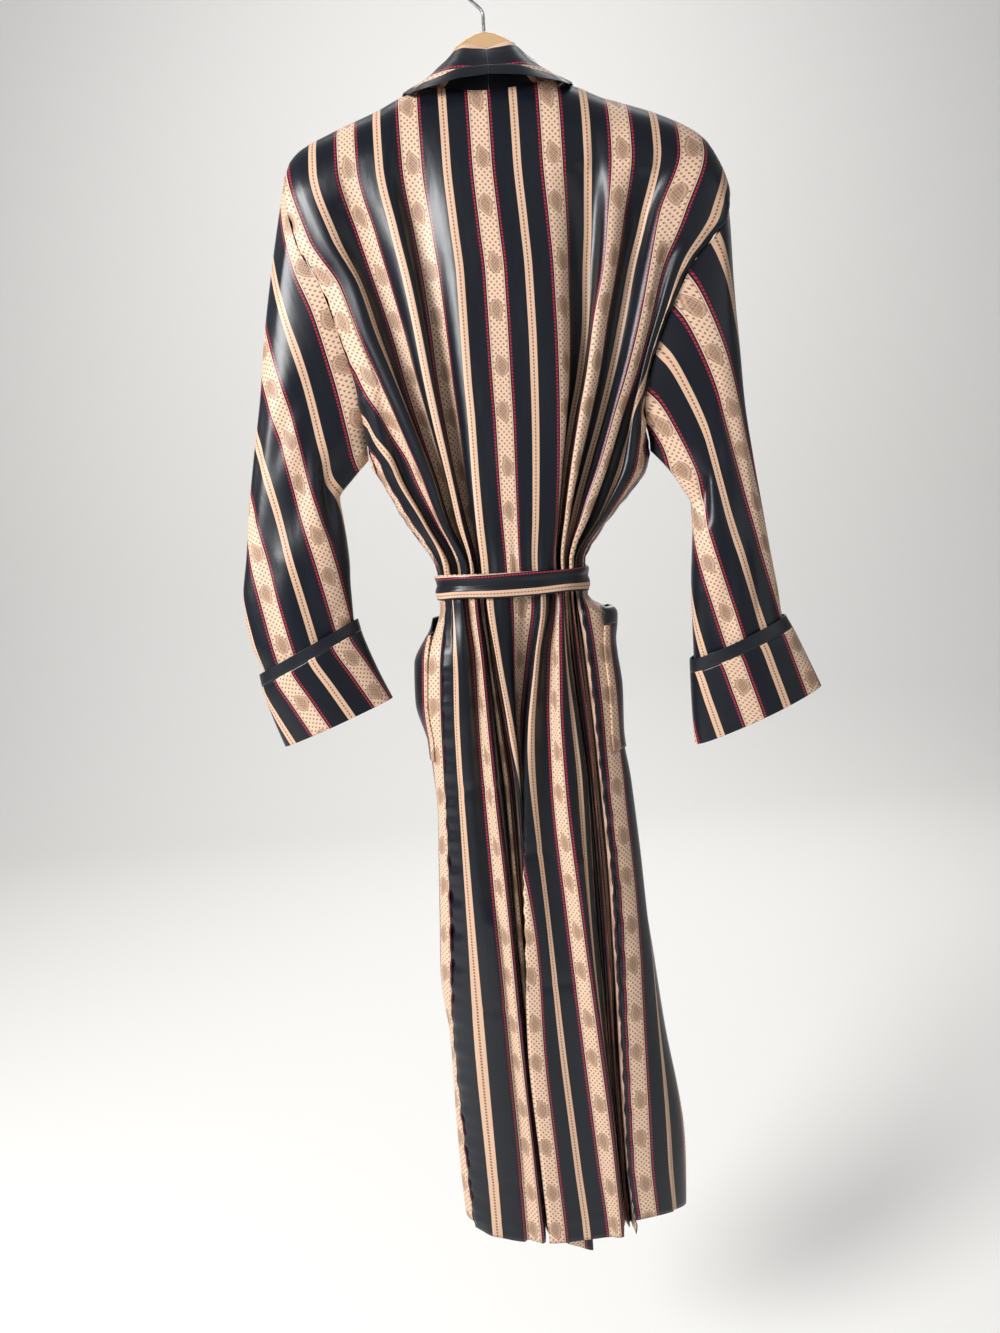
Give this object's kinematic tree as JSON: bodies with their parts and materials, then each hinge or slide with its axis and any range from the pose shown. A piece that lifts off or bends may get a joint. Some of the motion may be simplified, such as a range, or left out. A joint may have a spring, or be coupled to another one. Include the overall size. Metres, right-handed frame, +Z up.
{
  "type": "satin robe on a hanger",
  "caption": "Long striped satin dressing robe with shawl collar, turned-back cuffs, patch pockets and tied belt, hanging on a wooden hanger with a steel hook.",
  "frame": {"origin": "the inside top of the hanger's hook, where it bears on a rail", "axes": "+Z up, +Y out of the robe's front, +X to the wearer's right as seen from behind"},
  "size_m": [0.6444, 0.1304, 1.5024],
  "materials": {
    "satin_stripe": "satin, woven stripes",
    "satin_black": "plain satin",
    "hanger_wood": "clear varnish",
    "hook_steel": "plated wire"
  },
  "bodies": {
    "root": {"back": "satin_stripe", "front_left": "satin_stripe", "front_right": "satin_stripe", "pocket_left": "satin_stripe", "pocket_band_left": "satin_black", "pocket_right": "satin_stripe", "pocket_band_right": "satin_black", "sleeve_left": "satin_stripe", "cuff_band_left": "satin_black", "cuff_left": "satin_stripe", "sleeve_right": "satin_stripe", "cuff_band_right": "satin_black", "cuff_right": "satin_stripe", "collar_left": "satin_stripe", "collar_band_left": "satin_black", "collar_right": "satin_stripe", "collar_band_right": "satin_black", "belt": "satin_stripe", "belt_knot": "satin_stripe", "belt_end_left": "satin_stripe", "belt_end_right": "satin_stripe", "hanger_wood": "hanger_wood", "hanger_hook": "hook_steel"}
  },
  "joints": []
}
